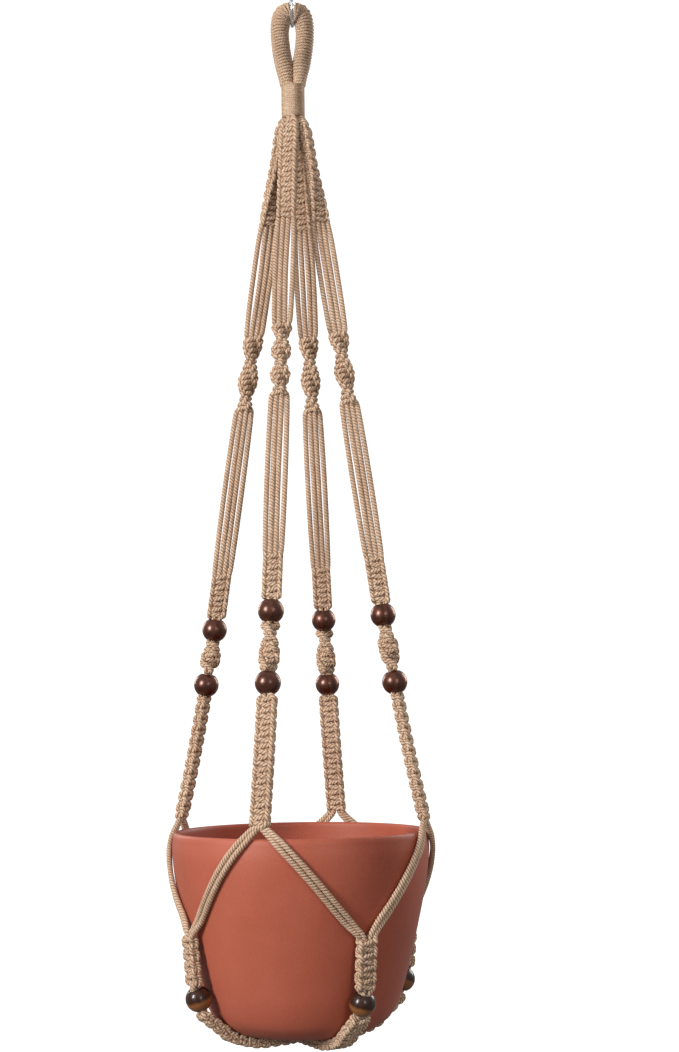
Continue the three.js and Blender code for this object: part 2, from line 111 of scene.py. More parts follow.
def spline(points, steps):
    """A smooth curve through the points, with `steps` short lines between each two of them."""
    points = np.asarray(points, float)
    ends = np.vstack([2 * points[0] - points[1], points, 2 * points[-1] - points[-2]])
    p0, p1, p2, p3 = ends[:-3], ends[1:-2], ends[2:-1], ends[3:]
    rows = []
    for step in range(steps):
        t = step / steps
        rows.append(0.5 * (2 * p1 + (p2 - p0) * t + (2 * p0 - 5 * p1 + 4 * p2 - p3) * t ** 2
                           + (3 * p1 - p0 - 3 * p2 + p3) * t ** 3))
    curve = np.stack(rows, axis=1).reshape(-1, points.shape[1])
    return np.vstack([curve, points[-1:]])


def lengths_along(points):
    return np.concatenate([[0.0], np.cumsum(np.linalg.norm(np.diff(points, axis=0), axis=1))])


def at_places(where, at, rows):
    """The rows, which lie at the places `at`, read off at the places `where`."""
    return np.stack([np.interp(where, at, column) for column in rows.T], axis=-1)


def even(points, spacing):
    """The same line with its points about `spacing` apart."""
    at = lengths_along(points)
    count = max(2, int(round(at[-1] / spacing)) + 1)
    return at_places(np.linspace(0, at[-1], count), at, points)


def new_object(name, verts, faces, material, uv=None):
    """A mesh object from points in millimetres."""
    mesh = bpy.data.meshes.new(name)
    mesh.from_pydata((np.asarray(verts) * MM).tolist(), [], faces)
    if uv is not None:
        layer = mesh.uv_layers.new(name="along")
        layer.data.foreach_set("uv", np.asarray(uv, np.float32).ravel())
    mesh.shade_smooth()
    mesh.materials.append(material)
    obj = bpy.data.objects.new(name, mesh)
    bpy.context.scene.collection.objects.link(obj)
    return obj


def turned(profile, sides):
    """Vertices and faces of a shape turned about Z. The profile closes on itself or on the axis."""
    closed = profile[0] == profile[-1]
    rows = profile[:-1] if closed else profile
    verts, index = [], []
    for radius, level in rows:
        if radius < 1e-6:
            index.append([len(verts)] * sides)
            verts.append((0.0, 0.0, level))
            continue
        index.append(list(range(len(verts), len(verts) + sides)))
        for i in range(sides):
            angle = 2 * math.pi * i / sides
            verts.append((radius * math.cos(angle), radius * math.sin(angle), level))
    faces = []
    for lower, upper in zip(index, index[1:] + ([index[0]] if closed else [])):
        for i in range(sides):
            j = (i + 1) % sides
            corners = [lower[i], lower[j], upper[j], upper[i]]
            ring = [v for k, v in enumerate(corners) if v != corners[k - 1]]
            if len(set(ring)) > 2:
                faces.append(tuple(ring))
    return verts, faces


def place(obj, body, slot, *nodes):
    """The piece stands for CAD nodes and moves with their body."""
    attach(obj, body)
    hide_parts(*nodes)


# ---- camera, floor and light -------------------------------------------------------------
#
# The camera's and the lights' places are in metres, and the stage is in millimetres.

CAMERA = {"place": (0.0, -1.550, -0.7085), "lens": 63.03,
          "yaw": 1.312, "pitch": 5.462, "roll": -0.727}
LIGHTS = {  # the place, the two sides and the power of each
    "key": ((-1.5, -1.35, -0.1), (0.45, 0.8), 43),
    "fill": ((0.75, -1.95, -0.3), (0.3, 0.7), 6.5),
    "back": ((1.7, 1.3, 0.1), (0.8, 1.2), 22),
    "back_left": ((-1.5, 1.7, 0.0), (0.6, 1.0), 12),
}
LIT_POINT = (0.0, 0.0, -0.7)
SKY = {"From Min": -0.6, "From Max": 0.7, "To Min": 0.16, "To Max": 0.5}
FLOOR_LEVEL = -1500.0
FLOOR_RADIUS = 2600.0  # where the floor starts to curve up
FLOOR_BEND = 900.0
WALL_HEIGHT = 3600.0
STAGE_SIDES = 48
STAGE_GLOW = 0.97


def make_camera():
    """A camera that looks along +Y, but for its yaw to the right, its pitch up and its roll."""
    yaw, pitch, roll = (math.radians(CAMERA[turn]) for turn in ("yaw", "pitch", "roll"))
    data = bpy.data.cameras.new("camera")
    data.lens = CAMERA["lens"]
    data.clip_start = 0.01
    camera = bpy.data.objects.new("camera", data)
    aim = Euler((math.pi / 2 + pitch, 0.0, -yaw)).to_matrix() @ Matrix.Rotation(roll, 3, "Z")
    camera.matrix_world = Matrix.Translation(CAMERA["place"]) @ aim.to_4x4()
    bpy.context.scene.collection.objects.link(camera)
    bpy.context.scene.camera = camera


def area_light(name, place_at, size, power):
    """A rectangular light that faces the planter."""
    data = bpy.data.lights.new(name, "AREA")
    data.shape = "RECTANGLE"
    data.size, data.size_y = size
    data.energy = power
    light = bpy.data.objects.new(name, data)
    light.location = place_at
    aim = Vector(LIT_POINT) - Vector(place_at)
    light.rotation_euler = aim.to_track_quat("-Z", "Y").to_euler()
    bpy.context.scene.collection.objects.link(light)


def make_sky():
    """Soft light from all round, weaker from below."""
    world = bpy.data.worlds.new("studio")
    world.use_nodes = True
    tree = world.node_tree
    direction = tree.nodes.new("ShaderNodeTexCoord").outputs["Generated"]
    height = tree.nodes.new("ShaderNodeSeparateXYZ")
    brightness = tree.nodes.new("ShaderNodeMapRange")
    for name, value in SKY.items():
        brightness.inputs[name].default_value = value
    background = tree.nodes["Background"]
    background.inputs["Color"].default_value = (1.0, 0.99, 0.98, 1.0)
    tree.links.new(direction, height.inputs["Vector"])
    tree.links.new(height.outputs["Z"], brightness.inputs["Value"])
    tree.links.new(brightness.outputs["Result"], background.inputs["Strength"])
    bpy.context.scene.world = world


def make_stage():
    """A plain pale floor that curves up into a plain pale wall all round the planter."""
    make_sky()

    material = bpy.data.materials.new("studio_floor")
    material.use_nodes = True
    shader = material.node_tree.nodes["Principled BSDF"]
    shader.inputs["Base Color"].default_value = (0.4, 0.4, 0.4, 1.0)
    shader.inputs["Roughness"].default_value = 0.9
    shader.inputs["Emission Color"].default_value = (1.0, 1.0, 1.0, 1.0)
    shader.inputs["Emission Strength"].default_value = STAGE_GLOW
    bend = [(FLOOR_RADIUS + FLOOR_BEND * math.sin(a), FLOOR_LEVEL + FLOOR_BEND * (1 - math.cos(a)))
            for a in np.linspace(0.0, math.pi / 2, 9)]
    wall_top = (FLOOR_RADIUS + FLOOR_BEND, FLOOR_LEVEL + WALL_HEIGHT)
    profile = [(0.0, FLOOR_LEVEL), (1500.0, FLOOR_LEVEL)] + bend + [wall_top]
    stage = new_object("studio_floor", *turned(profile, STAGE_SIDES), material)
    stage.visible_diffuse = False
    stage.visible_glossy = False

    for name, (place_at, size, power) in LIGHTS.items():
        area_light(name, place_at, size, power)
    bpy.context.scene.view_settings.view_transform = "Standard"


make_camera()
make_stage()

# ---- materials ---------------------------------------------------------------------------


def colour(red, green, blue):
    """A linear colour from the 0 to 255 values it has on a screen."""
    def linear(value):
        value /= 255
        return value / 12.92 if value <= 0.04045 else ((value + 0.055) / 1.055) ** 2.4
    return (linear(red), linear(green), linear(blue), 1.0)


def grey(value):
    return (value, value, value, 1.0)


class Nodes:
    """A material under construction: makes nodes and joins them in one call."""

    def __init__(self, name):
        self.material = bpy.data.materials.new(name)
        self.material.use_nodes = True
        self.tree = self.material.node_tree
        self.shader = self.tree.nodes["Principled BSDF"]
        self.place = self.add("ShaderNodeTexCoord").outputs["Object"]

    def add(self, kind, inputs=None, **settings):
        node = self.tree.nodes.new(kind)
        for key, value in settings.items():
            setattr(node, key, value)
        for key, value in (inputs or {}).items():
            self.feed(node.inputs[key], value)
        return node

    def feed(self, socket, value):
        if isinstance(value, bpy.types.NodeSocket):
            self.tree.links.new(value, socket)
        else:
            socket.default_value = value

    def set(self, **inputs):
        for key, value in inputs.items():
            self.feed(self.shader.inputs[key.replace("_", " ")], value)

    def math(self, operation, a, b=0.0):
        return self.add("ShaderNodeMath", {0: a, 1: b}, operation=operation).outputs[0]

    def noise(self, scale, detail=3.0, roughness=0.55, within=None):
        inputs = {"Vector": within or self.place, "Scale": scale, "Detail": detail,
                  "Roughness": roughness}
        return self.add("ShaderNodeTexNoise", inputs).outputs["Fac"]

    def stretched(self, scale, within=None):
        inputs = {"Vector": within or self.place, "Scale": scale}
        return self.add("ShaderNodeMapping", inputs).outputs["Vector"]

    def ramp(self, factor, *stops):
        """A colour that runs through the stops, each a position and a colour."""
        node = self.add("ShaderNodeValToRGB", {"Fac": factor})
        elements = node.color_ramp.elements
        while len(elements) < len(stops):
            elements.new(0.5)
        for element, (at, shade) in zip(elements, stops):
            element.position = at
            element.color = shade
        return node.outputs["Color"]

    def fade(self, factor, *stops):
        """A value that runs through the stops, each a position and a value."""
        return self.ramp(factor, *((at, grey(value)) for at, value in stops))

    def stain(self, base, other, factor, *stops):
        """`base` with as much of `other` in it as the factor says, read through the stops."""
        return self.mix(self.fade(factor, *stops), base, other)

    def mix(self, factor, a, b, blend="MIX"):
        node = self.add("ShaderNodeMix", data_type="RGBA", blend_type=blend)
        self.feed(node.inputs["Factor"], factor)
        self.feed(node.inputs["A"], a)
        self.feed(node.inputs["B"], b)
        return node.outputs["Result"]

    def bump(self, height, strength, distance, under=None):
        inputs = {"Height": height, "Strength": strength, "Distance": distance}
        if under is not None:
            inputs["Normal"] = under
        return self.add("ShaderNodeBump", inputs).outputs["Normal"]


PLIES = 3


def jute_material(name, painted_crease_shade, painted_crease_edge_shade):
    """Soft three-ply twine: fibres slant across each ply, and painted shade darkens the creases between
    plies.
    """
    n = Nodes(name)
    uv = n.add("ShaderNodeUVMap", uv_map="along").outputs["UV"]
    around = n.add("ShaderNodeSeparateXYZ", {"Vector": uv}).outputs["X"]
    wave = n.math("COSINE", n.math("MULTIPLY", around, 2 * math.pi * PLIES))
    crest = n.math("ADD", n.math("MULTIPLY", wave, 0.5), 0.5)
    fibres = n.noise(3.0, 4.0, 0.6, n.stretched((26.0, 2.2, 1.0), uv))
    tufts = n.noise(260.0, 2.0)
    patches = n.noise(22.0, 2.0)
    tan = n.ramp(fibres, (0.3, colour(183, 152, 126)), (0.5, colour(215, 187, 160)),
                 (0.7, colour(238, 216, 192)))
    tan = n.stain(tan, colour(182, 149, 122), patches, (0.38, 0.0), (0.7, 0.55))
    tan = n.stain(tan, colour(246, 230, 210), tufts, (0.52, 0.0), (0.75, 0.4))
    # Painted shade: the colour darkens across each crease between the plies, lightest on the crests.
    shade = n.ramp(crest, (0.0, painted_crease_shade), (0.22, painted_crease_edge_shade), (0.5, grey(1.0)))
    n.set(Base_Color=n.mix(0.9, tan, shade, "MULTIPLY"), Roughness=0.8)
    n.set(Sheen_Weight=0.15, Sheen_Roughness=0.5, Sheen_Tint=colour(240, 214, 190))
    n.set(Specular_IOR_Level=0.3, Normal=n.bump(fibres, 0.6, 0.0005, n.bump(tufts, 0.35, 0.0004)))
    return n.material


def bead_wood(n, dark, mid):
    """Dark stained wood, with its grain running along the bore."""
    rings = n.add("ShaderNodeTexWave", {"Vector": n.stretched((1.0, 1.0, 0.16)), "Scale": 60.0,
                                        "Distortion": 7.0, "Detail": 4.0, "Detail Scale": 2.0},
                  wave_type="BANDS", bands_direction="X")
    streak = n.noise(900.0, 2.0, within=n.stretched((1.0, 1.0, 0.07)))
    wood = n.stain(dark, mid, rings.outputs["Fac"], (0.1, 0.2), (0.9, 0.8))
    n.set(Normal=n.bump(streak, 0.1, 0.0002))
    return n.stain(wood, dark, streak, (0.45, 0.0), (0.7, 0.5)), streak


def bead_material():
    """Stained wood under a bronzed satin lacquer."""
    n = Nodes("bronzed_bead")
    wood, streak = bead_wood(n, colour(66, 31, 20), colour(112, 62, 42))
    n.set(Base_Color=wood, Roughness=n.fade(streak, (0.3, 0.36), (0.8, 0.46)), Metallic=0.75)
    n.set(Specular_IOR_Level=0.6, Specular_Tint=colour(255, 206, 172))
    n.set(Coat_Weight=0.8, Coat_Roughness=0.26)
    return n.material


def base_bead_material():
    """Darker wood under a clear gloss, with a painted amber glow of reflected light towards the bead's
    foot.
    """
    n = Nodes("amber_bead")
    wood, streak = bead_wood(n, colour(40, 21, 14), colour(66, 36, 23))
    # Painted reflection: an amber glow of reflected light, painted on the lower end of the bead.
    height = n.add("ShaderNodeSeparateXYZ", {"Vector": n.place}).outputs["Z"]
    uneven = n.math("ADD", height, n.math("MULTIPLY", n.noise(90.0), 0.004))
    foot = n.add("ShaderNodeMapRange", {"Value": uneven, "From Min": 0.003, "From Max": -0.006})
    painted_glow_band = foot.outputs["Result"], (0.0, 0.0), (0.3, 0.9), (0.8, 0.8), (1.0, 0.2)
    n.set(Base_Color=n.stain(wood, colour(146, 92, 50), *painted_glow_band), Coat_Weight=0.3, Coat_Roughness=0.08)
    n.set(Roughness=n.fade(streak, (0.3, 0.26), (0.8, 0.38)), Specular_IOR_Level=0.3)
    return n.material


def terracotta_material():
    """Fine-grained terracotta with a thin satin wash, slightly uneven in colour."""
    n = Nodes("terracotta_satin")
    clouds = n.noise(9.0, 4.0)
    grain = n.noise(900.0, 3.0, 0.65)
    turning = n.noise(420.0, 2.0, within=n.stretched((0.06, 0.06, 1.0)))
    clay = n.ramp(clouds, (0.3, colour(150, 70, 50)), (0.5, colour(166, 82, 60)),
                  (0.72, colour(176, 92, 70)))
    n.set(Base_Color=n.stain(clay, colour(190, 108, 84), grain, (0.4, 0.0), (0.75, 0.35)))
    n.set(Roughness=n.fade(clouds, (0.3, 0.42), (0.7, 0.56)), Specular_IOR_Level=0.35)
    n.set(Normal=n.bump(grain, 0.18, 0.0003, n.bump(turning, 0.15, 0.0004)))
    return n.material


def vinyl_material():
    """Satin brown coating, a little uneven where it ran before it set."""
    n = Nodes("brown_vinyl_dip")
    drips = n.noise(60.0)
    fine = n.noise(700.0, 2.0)
    n.set(Base_Color=n.ramp(drips, (0.3, colour(84, 52, 34)), (0.7, colour(116, 76, 50))))
    n.set(Roughness=n.fade(fine, (0.3, 0.3), (0.7, 0.46)))
    n.set(Normal=n.bump(drips, 0.25, 0.0006, n.bump(fine, 0.12, 0.0002)))
    return n.material


def metal_material(name, tone, polish, scratch_scale, metallic):
    """Plated wire with a faint bloom, and fine scratches along Z."""
    n = Nodes(name)
    scratches = n.noise(scratch_scale, within=n.stretched((1.0, 1.0, 0.1)))
    dull = colour(*(int(part * 0.86) for part in tone))
    n.set(Base_Color=n.ramp(n.noise(70.0), (0.3, dull), (0.7, colour(*tone))), Metallic=metallic)
    n.set(Roughness=n.fade(scratches, (0.35, polish), (0.75, polish + 0.16)))
    n.set(Normal=n.bump(scratches, 0.08, 0.0002))
    return n.material


def nylon_material():
    n = Nodes("white_nylon")
    cloud = n.noise(90.0)
    n.set(Base_Color=n.ramp(cloud, (0.3, colour(226, 224, 214)), (0.7, colour(242, 241, 235))))
    n.set(Roughness=0.42, Subsurface_Weight=0.1, Subsurface_Scale=0.002)
    n.set(Normal=n.bump(cloud, 0.1, 0.0003))
    return n.material


def sleeve_material():
    n = Nodes("clear_vinyl_sleeve")
    haze = n.noise(180.0)
    n.set(Base_Color=n.ramp(haze, (0.3, colour(226, 230, 232)), (0.7, colour(242, 244, 245))))
    n.set(Transmission_Weight=0.96, IOR=1.45, Roughness=n.fade(haze, (0.3, 0.1), (0.7, 0.28)))
    n.set(Normal=n.bump(haze, 0.1, 0.0003))
    return n.material


# Each twine's last two colours are painted shade for the ply creases and their edges; the second twine's
# painted shade is lighter.
JUTE = jute_material("jute_twine", colour(150, 112, 86), colour(214, 188, 166))
SMOOTH_JUTE = jute_material("jute_twine_lighter_painted_shade", colour(200, 176, 153), colour(227, 211, 194))
BEAD_WOOD = bead_material()
BASE_BEAD_WOOD = base_bead_material()
TERRACOTTA = terracotta_material()
VINYL = vinyl_material()
CHROME = metal_material("chrome_wire", (226, 228, 232), 0.12, 1400.0, 0.78)
ZINC = metal_material("zinc_thread", (196, 198, 202), 0.24, 900.0, 0.85)
NYLON = nylon_material()
SLEEVE = sleeve_material()

# ---- cords -------------------------------------------------------------------------------

SECTION_SIDES = 12
PLY_PITCH = -8.0  # the sign is the way the plies turn
GROOVE = 0.12
UV_LENGTH = 10.0  # the cord's length, in millimetres, that one unit of V covers


def carried_frames(points):
    """Directions across a line at each of its points, carried along it without twisting."""
    steps = np.gradient(points, axis=0)
    tangents = steps / np.linalg.norm(steps, axis=1)[:, None]
    across = np.zeros_like(points)
    start = np.cross(tangents[0], (0.0, 0.0, 1.0))
    if np.linalg.norm(start) < 0.2:
        start = np.cross(tangents[0], (0.0, 1.0, 0.0))
    across[0] = start / np.linalg.norm(start)
    for i in range(1, len(points)):
        leaning = across[i - 1] - tangents[i] * np.dot(across[i - 1], tangents[i])
        across[i] = leaning / np.linalg.norm(leaning)
    return across, np.cross(tangents, across)


def tube_rings(points, radius, phase=0.0, sides=SECTION_SIDES, groove=GROOVE, frames=None):
    """Rings of a plied cord along a line. `phase` is each ring's turn in radians."""
    across, through = frames if frames is not None else carried_frames(points)
    spots = 2 * np.pi * np.arange(sides) / sides
    reach = 1 - groove * (0.5 - 0.5 * np.cos(PLIES * spots)) ** 1.5
    angle = np.reshape(phase, (-1, 1)) + spots[None]
    size = np.broadcast_to(np.asarray(radius, float), (len(points),))[:, None] * reach[None]
    return (points[:, None] + across[:, None] * (size * np.cos(angle))[..., None]
            + through[:, None] * (size * np.sin(angle))[..., None])


class MeshParts:
    """Collects tubes for one piece."""

    def __init__(self):
        self.verts, self.faces, self.uv, self.count = [], [], [], 0

    def add_tube(self, rings, along):
        """A tube closed by a fan at each end. `along` is each ring's distance down the cord."""
        count, sides = rings.shape[:2]
        first, last = self.count, self.count + (count - 1) * sides
        self.verts.append(np.vstack([rings.reshape(-1, 3), rings[[0, -1]].mean(axis=1)]))
        self.count += count * sides + 2
        near = first + np.arange(count * sides).reshape(count, sides)
        far = np.roll(near, -1, axis=1)
        quads = np.stack([near[:-1], far[:-1], far[1:], near[1:]], axis=2)
        self.faces.extend(quads.reshape(-1, 4).tolist())
        v = along / UV_LENGTH
        grid = np.stack(np.broadcast_arrays(np.arange(sides + 1)[None] / sides, v[:, None]), axis=2)
        corners = np.stack([grid[:-1, :-1], grid[:-1, 1:], grid[1:, 1:], grid[1:, :-1]], axis=2)
        self.uv.append(corners.reshape(-1, 2))
        fans = []
        for i in range(sides):
            j = (i + 1) % sides
            self.faces.append((self.count - 2, first + j, first + i))
            self.faces.append((self.count - 1, last + i, last + j))
            fans += [(0.5, v[0]), ((i + 1) / sides, v[0]), (i / sides, v[0])]
            fans += [(0.5, v[-1]), (i / sides, v[-1]), ((i + 1) / sides, v[-1])]
        self.uv.append(np.array(fans))

    def add_twine(self, points, radius, pitch, groove=GROOVE):
        """A plied cord along a line."""
        along = lengths_along(points)
        self.add_tube(tube_rings(points, radius, 2 * np.pi * along / pitch, groove=groove), along)

    def add_rod(self, points, radius, sides):
        """A plain round bar along a line."""
        self.add_tube(tube_rings(points, radius, sides=sides, groove=0.0), lengths_along(points))

    def make(self, name, material):
        return new_object(name, np.vstack(self.verts), self.faces, material, uv=np.vstack(self.uv))


# ---- knots -------------------------------------------------------------------------------
#
# A knotted stretch is worked out in its own flat frame: u runs across it, v towards its front
# and s down its length. Two fillers run straight down it. The two working cords are pulled
# tight round them: each is drawn towards its neighbours along its length, and pushed out of
# the other cord, of itself and of the fillers.

HALF_KNOT = 4.5
KNOT_WIDTH = 6.3  # from the middle of a sinnet to the middle of the cords along its sides
KNOT_FLATNESS = 0.74  # how far the pulled cords are pressed into the fillers
FILLER = 2.0
KNOT_POINTS = 36
PULL_ROUNDS = 400
FIRST_GAP = 1.3  # between two cords' middles when the pulling starts
CORD_GAP = 3.3  # the same at its end
FILLER_GAP = 3.3  # between the middles of a cord and a filler


def loose_half_knot(middle, mirrored):
    """The two working cords' turns in one half knot, before it is pulled tight."""
    h = HALF_KNOT
    over = np.array([
        (-7.05, 0.0, -0.36 * h), (-6.85, -1.15, -0.12 * h), (-5.8, -1.15, 0.12 * h),
        (-4.9, 1.6, 0.22 * h), (-3.0, 3.6, 0.16 * h), (0.0, 4.1, 0.0), (3.0, 3.6, -0.16 * h),
        (4.9, 1.6, -0.22 * h), (5.8, -1.5, -0.1 * h), (6.85, -1.15, 0.14 * h), (7.05, 0.0, 0.36 * h)])
    under = over * (-1, -1, 1)
    if mirrored:
        over = over * (-1, 1, 1)
        under = under * (-1, 1, 1)
    return over + (0, 0, middle), under + (0, 0, middle)


def spread_evenly(points, period):
    """One repeat of a working cord, with its points all the same distance apart."""
    closed = np.vstack([points, points[:1] + period])
    at = lengths_along(closed)
    return at_places(np.linspace(0, at[-1], KNOT_POINTS, endpoint=False), at, closed)


def pull_tight(spiral):
    """One repeat, two half knots long, of both working cords of a square or a spiral sinnet."""
    period = np.array([0.0, 0.0, 2 * HALF_KNOT])
    over_1, under_1 = loose_half_knot(0.5 * HALF_KNOT, False)
    over_2, under_2 = loose_half_knot(1.5 * HALF_KNOT, not spiral)
    if spiral:
        over_2, under_2 = under_2, over_2
    cords = np.stack([spread_evenly(np.vstack([over_1, over_2]), period),
                      spread_evenly(np.vstack([under_1, under_2]), period)])
    which, order = np.divmod(np.arange(2 * KNOT_POINTS), KNOT_POINTS)
    same_cord = which[:, None] == which[None]
    for turn in range(PULL_ROUNDS):
        gap = lerp(FIRST_GAP, CORD_GAP, min(1.0, turn / (0.6 * PULL_ROUNDS)))
        after = np.concatenate([cords[:, 1:], cords[:, :1] + period], axis=1)
        before = np.concatenate([cords[:, -1:] - period, cords[:, :-1]], axis=1)
        step = np.linalg.norm(after - cords, axis=2).mean()
        cords = cords + 0.5 * (0.5 * (after + before) - cords)
        for _ in range(2):
            cords = push_apart(cords, period, gap, step, same_cord, order)
        cords = np.stack([spread_evenly(cord, period) for cord in cords])
    return cords


def push_apart(cords, period, gap, step, same_cord, order):
    """The cords with every two points that are too close moved apart."""
    flat = cords.reshape(-1, 3)
    moved = np.zeros_like(flat)
    hits = np.zeros(len(flat))
    for shift in (-1, 0, 1):
        apart = flat[:, None] - (flat + shift * period)[None]
        distance = np.linalg.norm(apart, axis=2)
        along = np.abs(order[:, None] - (order[None] + shift * KNOT_POINTS)) * step
        touching = (distance < gap) & (distance > 1e-6) & ~(same_cord & (along < 1.6 * gap))
        push = np.where(touching, (gap - distance) / np.maximum(distance, 1e-6), 0.0)
        moved += 0.5 * (push[:, :, None] * apart).sum(axis=1)
        hits += touching.sum(axis=1)
    for filler in (-FILLER, FILLER):
        apart = flat[:, :2] - (filler, 0.0)
        distance = np.linalg.norm(apart, axis=1)
        reach = min(FILLER_GAP, gap + 1.2)
        touching = distance < reach
        push = np.where(touching, (reach - distance) / np.maximum(distance, 1e-6), 0.0)
        moved[:, :2] += push[:, None] * apart
        hits += touching
    flat = flat + moved / np.maximum(hits, 1)[:, None]
    beyond = np.maximum(0, np.abs(flat[:, 0]) - KNOT_WIDTH)
    flat[:, 0] -= 0.8 * np.sign(flat[:, 0]) * beyond
    return flat.reshape(cords.shape)


SQUARE = pull_tight(spiral=False)
SPIRAL = pull_tight(spiral=True)

# ---- the way of each cord ----------------------------------------------------------------
#
# The hanger's sixteen cords each run from the collar down an arm, over the net, down a side
# and under the pot. A cord's route is built stretch by stretch, and cut again into the
# pieces that stand for the CAD nodes.

LEFT, LEFT_FILLER, RIGHT_FILLER, RIGHT = range(4)
OPEN_RADIUS = 2.35
CORD_SPACING = 4.25
KNOTTED_RADIUS = 2.0
TUCKED_RADIUS = 2.1
OPEN_WIDTH = 6.4
OPEN_SPREAD = 1.0
IN_BEAD = {LEFT: (-2.0, -2.0), LEFT_FILLER: (-2.0, 2.0), RIGHT_FILLER: (2.0, -2.0), RIGHT: (2.0, 2.0)}
STEP = 1.4
SETTLING = 6
SINNET_TURN = (-240, -330)  # the levels between which a top sinnet turns to its arm's facing
CROWDED_WITHIN = 11.5  # nearer the axis than this, an arm's cords are squeezed together


def straight_rows(offset, top, bottom, radius=TUCKED_RADIUS):
    """Rows of u, v, level, the cord's radius and whether the row may still settle."""
    count = max(2, int(round((top - bottom) / STEP)))
    levels = np.linspace(top, bottom, count, endpoint=False)
    return [(offset[0], offset[1], level, radius, True) for level in levels]


def open_rows(cord, top, bottom, shares):
    """Rows down four free cords. `shares` says how the slack between them is split in the middle."""
    count = int(round((top - bottom) / STEP))
    rows = []
    for i in range(count):
        t = i / count
        belly = math.sin(math.pi * t) ** 0.6
        half = OPEN_WIDTH + OPEN_SPREAD * belly
        slack = 2 * half - 3 * CORD_SPACING
        grouped = -half + cord * CORD_SPACING + slack * sum(shares[:cord])
        spaced = -half + 2 * half * cord / 3
        sway = 0.45 * belly * math.sin(2.2 * math.pi * t + 1.9 * cord + 3 * shares[0])
        rows.append((lerp(spaced, grouped, belly), sway, lerp(top, bottom, t), OPEN_RADIUS, True))
    return rows


def knotted_rows(cord, top, bottom, knot):
    """Rows down a knotted stretch."""
    if cord in (LEFT_FILLER, RIGHT_FILLER):
        return straight_rows((-FILLER if cord == LEFT_FILLER else FILLER, 0.0), top, bottom)
    repeats = max(1, int(round((top - bottom) / (2 * HALF_KNOT))))
    stretch = (top - bottom) / (repeats * 2 * HALF_KNOT)
    shape = knot[0 if cord == LEFT else 1]
    rows = []
    for repeat in range(repeats):
        for u, v, s in shape:
            level = top - (s + repeat * 2 * HALF_KNOT) * stretch
            rows.append((u, v * KNOT_FLATNESS, level, KNOTTED_RADIUS, False))
    return rows


def blurred(values):
    """Each value but the first and last, half way to the mean of its neighbours."""
    result = values.copy()
    result[1:-1] = 0.25 * values[:-2] + 0.5 * values[1:-1] + 0.25 * values[2:]
    return result


class Route:
    """One cord's rows: a point, the piece it belongs to, the radius there and if it may settle."""

    def __init__(self):
        self.rows = []

    def add(self, point, piece, radius, loose):
        """Adds a point, with others on the way to it where the step is long."""
        before = self.rows[-1][0] if self.rows else point
        gap = np.linalg.norm(point - before)
        extra = int(gap / STEP) if gap > 1.6 * STEP else 0
        for i in range(1, extra + 1):
            self.rows.append((lerp(before, point, i / (extra + 1)), piece, radius, True))
        self.rows.append((point, piece, radius, loose))

    def lay(self, piece, rows, to_world):
        for u, v, level, radius, loose in rows:
            self.add(to_world(u, v, level), piece, radius, loose)

    def finished(self):
        """Points close together on a smooth line, with the radius and the piece of each."""
        points, pieces, radii, loose = (np.array(column) for column in zip(*self.rows))
        settles = loose.copy()
        settles[1:] |= loose[:-1]
        settles[:-1] |= loose[1:]
        settles[[0, -1]] = False
        for _ in range(SETTLING):
            points = np.where(settles[:, None], blurred(points), points)
            radii = blurred(radii)
        rows = spline(np.column_stack([points, radii]), 2)
        return rows[:, :3], rows[:, 3], np.repeat(pieces, 2)[:len(rows)]


def arm_radius(level):
    """How far an arm's middle is from the axis at a level."""
    flare = ARM_LINE["flare"] * max(0.0, ARM_LINE["flare_level"] - level) ** 2
    pinch = 3.2 * math.exp(-max(0.0, COLLAR["bottom"] - level) / 4)
    return ARM_LINE["radius"] + ARM_LINE["slope"] * (ARM_LINE["level"] - level) + flare - pinch


def turn_to_front(azimuth):
    return -72.5 if abs(math.sin(math.radians(azimuth))) > 0.5 else 17.5


def on_arm(arm, turn_at):
    def to_world(u, v, level):
        radius = arm_radius(level)
        size = min(1.0, radius / CROWDED_WITHIN)
        facing = arm["azimuth"] + turn_at(level)
        return polar(radius, arm["azimuth"], level) + (sideways(facing) * u + outward(facing) * v) * size
    return to_world


